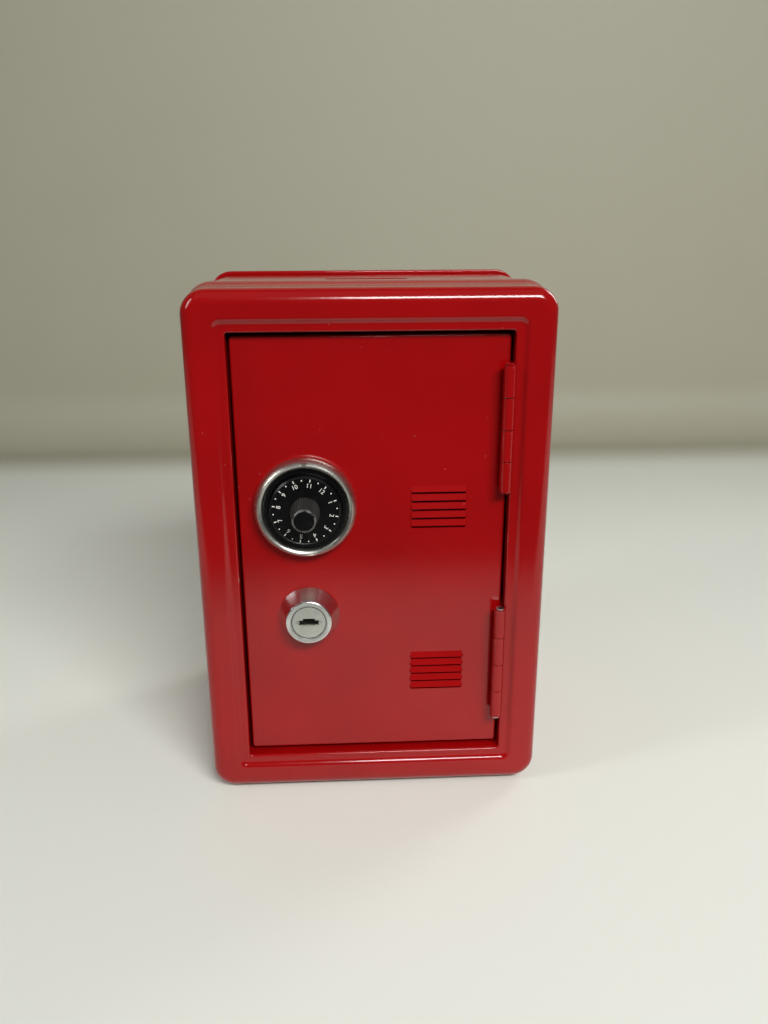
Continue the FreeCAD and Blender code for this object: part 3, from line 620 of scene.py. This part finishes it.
def black_moulding():
    """Hard black plastic with a fine grain and a few scuffs, a painted highlight round the knob's front
    rim, and a grip rubbed grey and lightened by painted sheen.
    """
    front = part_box("dial")[0][1]

    def make(flow):
        place = flow.place()
        grain = place.noise(0.35 * MM, 2.0)
        worn = place.noise(3.0 * MM, 4.0, 0.65).between(0.56, 0.8)
        scuff = place.specks(1.6 * MM, 0.10, 0.08 * MM)
        radius = place.off_axis("dial_spin")
        depth = place.axis("Y") - front
        ahead = 1 - depth.between(KNOB_RIM_DEPTH, KNOB_RIM_DEPTH + 0.2 * MM)
        rim_edge = radius.between(KNOB_RIM_RADIUS, KNOB_RIM_RADIUS + KNOB_MARK_FADE)
        # Painted highlight: a broken lighter band round the knob's front rim
        rim_highlight = ahead * rim_edge * place.noise(1.3 * MM, 2.0).between(0.3, 0.6)
        # Grip rubbed grey and lightened by painted sheen along the knob's flank
        knob = 1 - depth.between(GRIP_LENGTH, GRIP_LENGTH + 0.6 * MM)
        grip_rub_and_sheen = knob * radius.between(GRIP_RADIUS, GRIP_RADIUS + KNOB_MARK_FADE)
        black = worn.blend(BLACK, BLACK_WORN)
        rub_and_sheen_black = (grip_rub_and_sheen * 0.45).blend(black, GRIP_RUB_AND_SHEEN)
        scuffed = (scuff * 0.5).blend(rub_and_sheen_black, PLASTIC_SCUFF)
        return {
            # The painted rim highlight lies over the grip's rubbed grey and painted sheen
            "Base Color": (rim_highlight * 0.7).blend(scuffed, RIM_HIGHLIGHT),
            "Roughness": grain * 0.14 + worn * 0.12 + grip_rub_and_sheen * 0.2 + 0.20,
            "IOR": PLASTIC_IOR,
            "Normal": grain.bump(0.005 * MM),
        }

    return made_once("black_moulding", make)


def white_ink():
    """Printed white, a little thinner in blots and yellowed by age."""
    def make(flow):
        place = flow.place()
        blot = place.noise(0.5 * MM, 3.0)
        return {
            "Base Color": blot.blend(INK, INK_THIN),
            "Roughness": blot * 0.2 + 0.4,
            "Normal": blot.bump(0.01 * MM),
        }

    return made_once("white_ink", make)


def shelf_and_wall():
    """Pale painted board below, darkened towards its front edge by painted shade, and a duller wall
    above it.
    """
    stage = bpy.context.scene.safe_stage

    def make(flow):
        place = flow.place()
        wall = place.axis("Y").between(stage.wall_back - WALL_FADE_START, stage.wall_back - WALL_BEND)
        mottle = place.noise(60 * MM, 3.0)
        grain = place.noise(1.2 * MM, 3.0)
        # Painted shade: the shelf darkens over its front strip towards the edge
        lit = place.axis("Y").between(-stage.shelf_front, stage.shelf_fade - stage.shelf_front)
        shelf = lit.blend(opaque(stage.edge_colour), opaque(stage.shelf_colour))
        board = wall.blend(shelf, opaque(stage.wall_colour))
        duller = (wall * 0.5).blend(shelf, opaque(stage.wall_colour))
        return {
            "Base Color": (mottle * 0.12).blend(board, duller),
            "Roughness": mottle * 0.1 + 0.55,
            "Normal": grain.bump(0.02 * MM),
        }

    return made_once("shelf_and_wall", make)


def dress(material, *names):
    """Gives CAD nodes a finish, and stops if the frame has no such node."""
    for name in names:
        if name not in NODES:
            raise RuntimeError(f"the frame has no node named {name}")
        NODES[name].data.materials.clear()
        NODES[name].data.materials.append(material)


# Printed marks of the dial

def facing_front(angle, centre):
    """Turns a mark drawn flat in X and Y to face the front, upright at the top of a turned ring."""
    upright = Matrix.Rotation(math.radians(90), 4, "X")
    return Matrix.Translation(centre) @ Matrix.Rotation(angle, 4, "Y") @ upright


def number_mesh(text, height, ink):
    """A printed number of the given height, centred on the origin."""
    curve = bpy.data.curves.new("number_outline", "FONT")
    curve.body = text
    curve.extrude = ink / 2
    carrier = bpy.data.objects.new("number_outline", curve)
    bpy.context.scene.collection.objects.link(carrier)
    bpy.context.view_layer.update()
    mesh = bpy.data.meshes.new_from_object(carrier.evaluated_get(bpy.context.evaluated_depsgraph_get()))
    bpy.data.objects.remove(carrier)
    bpy.data.curves.remove(curve)
    low = Vector((min(v.co[i] for v in mesh.vertices) for i in range(3)))
    high = Vector((max(v.co[i] for v in mesh.vertices) for i in range(3)))
    scale = height / (high.y - low.y)
    mesh.transform(Matrix.Diagonal((scale, scale, 1.0, 1.0)) @ Matrix.Translation(-(low + high) / 2))
    return mesh


def add_plate(work, points, ink, place):
    """Adds a flat plate of ink with the given outline to a mesh in the making."""
    back = [work.verts.new(place @ Vector((x, y, -ink / 2))) for x, y in points]
    front = [work.verts.new(place @ Vector((x, y, ink / 2))) for x, y in points]
    work.faces.new(front)
    work.faces.new(reversed(back))
    for i in range(len(points)):
        after = (i + 1) % len(points)
        work.faces.new((back[i], back[after], front[after], front[i]))


def tick_outline(length, width):
    """A tick along Y."""
    x, y = width / 2, length / 2
    return [(-x, -y), (x, -y), (x, y), (-x, y)]


def dot_outline(diameter):
    """A round dot."""
    turns = [2 * math.pi * i / DOT_SIDES for i in range(DOT_SIDES)]
    return [(math.cos(turn) * diameter / 2, math.sin(turn) * diameter / 2) for turn in turns]


# Stage

def sweep_profile(front, back):
    """The shelf's rounded front edge, its top, the bend and the wall, as points in Y and Z."""
    turns = [math.pi / 2 * i / ARC_STEPS for i in range(ARC_STEPS + 1)]
    points = [(-front, -SHELF_DROP)]
    for turn in turns:
        points.append((SHELF_EDGE * (1 - math.cos(turn)) - front, SHELF_EDGE * (math.sin(turn) - 1)))
    for turn in turns:
        points.append((back - WALL_BEND * (1 - math.sin(turn)), WALL_BEND * (1 - math.cos(turn))))
    points.append((back, WALL_HEIGHT))
    return points


def soft_lamp(name, power, size, place, spread=FULL_SPREAD):
    """A soft lamp that faces the safe's middle and spreads its light over an angle."""
    middle = (CAD_LOW + CAD_HIGH) / 2
    lamp = bpy.data.lights.new(name, "AREA")
    lamp.shape = "RECTANGLE"
    lamp.size, lamp.size_y = size
    lamp.energy = power
    lamp.spread = spread
    stand = bpy.data.objects.new(name, lamp)
    stand.location = place
    stand.rotation_mode = "QUATERNION"
    stand.rotation_quaternion = (middle - Vector(place)).to_track_quat("-Z", "Y")
    bpy.context.scene.collection.objects.link(stand)


def camera_turn(pitch, yaw, roll):
    """The camera's rotation for a view along +Y, looking down, to the right and leaning."""
    ahead = Vector((math.sin(yaw) * math.cos(pitch), math.cos(yaw) * math.cos(pitch), -math.sin(pitch)))
    level = Vector((math.cos(yaw), -math.sin(yaw), 0.0))
    above = level.cross(ahead)
    right = level * math.cos(roll) + above * math.sin(roll)
    up = above * math.cos(roll) - level * math.sin(roll)
    return Matrix((right, up, -ahead)).transposed()


def room_light(level):
    """A dim even room round the stage."""
    world = bpy.data.worlds.new("room")
    world.use_nodes = True
    world.node_tree.nodes.clear()
    flow = Flow(world.node_tree)
    sockets = {"Color": opaque((level, level, level)), "Strength": 1.0}
    background = flow.node("ShaderNodeBackground", sockets=sockets)
    flow.node("ShaderNodeOutputWorld", sockets={"Surface": background})
    return world


# Operators, one for each group of pieces

class SAFE_OT_case(bpy.types.Operator):
    """Enamels the two pressed shells and the sleeve between them"""

    bl_idname = "safe.case"
    bl_label = "Enamel the case"

    def execute(self, context):
        dress(baked_enamel(), "front_shell", "body_wrap", "rear_shell")
        return {"FINISHED"}


class SAFE_OT_door(bpy.types.Operator):
    """Enamels the louvred door"""

    bl_idname = "safe.door"
    bl_label = "Enamel the door"

    def execute(self, context):
        dress(baked_enamel(), "door_panel")
        return {"FINISHED"}


class SAFE_OT_hinges(bpy.types.Operator):
    """Enamels the hinge leaves and the upper pin, and leaves the lower pin bare"""

    bl_idname = "safe.hinges"
    bl_label = "Finish the hinges"

    def execute(self, context):
        for end in ("upper", "lower"):
            dress(chipped_enamel(), f"{end}_hinge_frame_leaf", f"{end}_hinge_door_leaf")
        dress(chipped_enamel(), "upper_hinge_pin")
        dress(zinc_steel(), "lower_hinge_pin")
        return {"FINISHED"}


class SAFE_OT_dial(bpy.types.Operator):
    """Finishes the chrome bezel, the black dial and what holds them"""

    bl_idname = "safe.dial"
    bl_label = "Finish the dial"

    def execute(self, context):
        dress(turned_bezel(), "dial_bezel")
        dress(black_moulding(), "dial")
        dress(zinc_steel(), "bezel_push_nut", "dial_spring_washer")
        dress(zinc_steel(), "dial_retaining_washer", "dial_screw")
        return {"FINISHED"}


class SAFE_OT_dial_print(bpy.types.Operator):
    """Prints the numbers, ticks and dots on the dial's number ring"""

    bl_idname = "safe.dial_print"
    bl_label = "Print the dial"

    def execute(self, context):
        marks = context.scene.safe_print
        centre = Vector(JOINTS["dial_spin"]["pos_m"])
        centre.y -= marks.ring_front
        step = 2 * math.pi / marks.numbers
        work = bmesh.new()
        for number in range(1, marks.numbers + 1):
            angle = marks.last_angle + step * (number - marks.numbers)
            turned = facing_front(angle, centre)
            digits = number_mesh(str(number), marks.number_height, marks.ink)
            digits.transform(turned @ Matrix.Translation((0, marks.number_radius, 0)))
            work.from_mesh(digits)
            bpy.data.meshes.remove(digits)
            outward = Matrix.Translation((0, marks.mark_radius, 0))
            tick = tick_outline(marks.tick_length, marks.tick_width)
            add_plate(work, tick, marks.ink, turned @ outward)
            between = facing_front(angle + step / 2, centre)
            add_plate(work, dot_outline(marks.dot_diameter), marks.ink, between @ outward)
        mesh = bpy.data.meshes.new("dial_print")
        work.to_mesh(mesh)
        work.free()
        piece = bpy.data.objects.new("dial_print", mesh)
        context.scene.collection.objects.link(piece)
        mesh.materials.append(white_ink())
        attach(piece, "dial")
        return {"FINISHED"}


class SAFE_OT_lock(bpy.types.Operator):
    """Finishes the chrome lock housing, its nickel plug and the works behind the door"""

    bl_idname = "safe.lock"
    bl_label = "Finish the lock"

    def execute(self, context):
        dress(bright_chrome(), "lock_housing")
        dress(satin_nickel(), "lock_plug")
        dress(wafer_brass(), "lock_wafers")
        dress(zinc_steel(), "lock_wafer_springs", "lock_star_washer", "lock_nut")
        dress(zinc_steel(), "lock_cam", "cam_washer", "cam_screw")
        return {"FINISHED"}


class SAFE_OT_stage(bpy.types.Operator):
    """Builds the pale shelf and wall, the soft lamps and the camera"""

    bl_idname = "safe.stage"
    bl_label = "Set the stage"

    def execute(self, context):
        stage = context.scene.safe_stage
        profile = sweep_profile(stage.shelf_front, stage.wall_back)
        work = bmesh.new()
        left = [work.verts.new((-STAGE_HALF_WIDTH, y, z)) for y, z in profile]
        right = [work.verts.new((STAGE_HALF_WIDTH, y, z)) for y, z in profile]
        for i in range(len(profile) - 1):
            face = work.faces.new((left[i], right[i], right[i + 1], left[i + 1]))
            face.smooth = True
        mesh = bpy.data.meshes.new("shelf_and_wall")
        work.to_mesh(mesh)
        work.free()
        mesh.materials.append(shelf_and_wall())
        board = bpy.data.objects.new("shelf_and_wall", mesh)
        context.scene.collection.objects.link(board)
        board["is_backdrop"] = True

        soft_lamp("key_lamp", stage.key_power, KEY_SIZE, KEY_PLACE)
        soft_lamp("ceiling_lamp", stage.ceiling_power, CEILING_SIZE, CEILING_PLACE)
        soft_lamp("left_fill", stage.fill_power, FILL_SIZE, LEFT_FILL_PLACE, FILL_SPREAD)
        soft_lamp("right_fill", stage.fill_power, REAR_FILL_SIZE, RIGHT_FILL_PLACE, FILL_SPREAD)
        context.scene.world = room_light(stage.room_level)

        camera = bpy.data.cameras.new("photo_camera")
        camera.sensor_fit = "AUTO"
        camera.sensor_width = SENSOR_WIDTH
        camera.lens = stage.focal_length
        camera.clip_start = NEAR_CLIP
        camera.clip_end = FAR_CLIP
        stand = bpy.data.objects.new("photo_camera", camera)
        turn = camera_turn(stage.camera_pitch, stage.camera_yaw, stage.camera_roll)
        stand.matrix_world = Matrix.Translation(stage.camera_place) @ turn.to_4x4()
        context.scene.collection.objects.link(stand)
        context.scene.camera = stand
        context.scene.view_settings.view_transform = "Standard"
        return {"FINISHED"}


PIECES = (
    SAFE_OT_case,
    SAFE_OT_door,
    SAFE_OT_hinges,
    SAFE_OT_dial,
    SAFE_OT_dial_print,
    SAFE_OT_lock,
    SAFE_OT_stage,
)


class SAFE_PT_sidebar(bpy.types.Panel):
    """Lists the finishes, their settings and the operators"""

    bl_idname = "SAFE_PT_sidebar"
    bl_label = "Money Safe"
    bl_space_type = "VIEW_3D"
    bl_region_type = "UI"
    bl_category = "Safe"

    def draw(self, context):
        for group in (context.scene.safe_enamel, context.scene.safe_print, context.scene.safe_stage):
            box = self.layout.box()
            for name in group.__annotations__:
                box.prop(group, name)
        for piece in PIECES:
            self.layout.operator(piece.bl_idname)


CLASSES = (EnamelSettings, PrintSettings, StageSettings, *PIECES, SAFE_PT_sidebar)


def register():
    """Adds the classes and the settings."""
    for each in CLASSES:
        bpy.utils.register_class(each)
    bpy.types.Scene.safe_enamel = PointerProperty(type=EnamelSettings)
    bpy.types.Scene.safe_print = PointerProperty(type=PrintSettings)
    bpy.types.Scene.safe_stage = PointerProperty(type=StageSettings)


def unregister():
    """Takes the settings and the classes away again."""
    del bpy.types.Scene.safe_stage
    del bpy.types.Scene.safe_print
    del bpy.types.Scene.safe_enamel
    for each in reversed(CLASSES):
        bpy.utils.unregister_class(each)


def main():
    """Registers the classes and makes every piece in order."""
    register()
    bpy.ops.safe.case()
    bpy.ops.safe.door()
    bpy.ops.safe.hinges()
    bpy.ops.safe.dial()
    bpy.ops.safe.dial_print()
    bpy.ops.safe.lock()
    bpy.ops.safe.stage()
    bpy.context.view_layer.update()


if __name__ == "__main__":
    main()
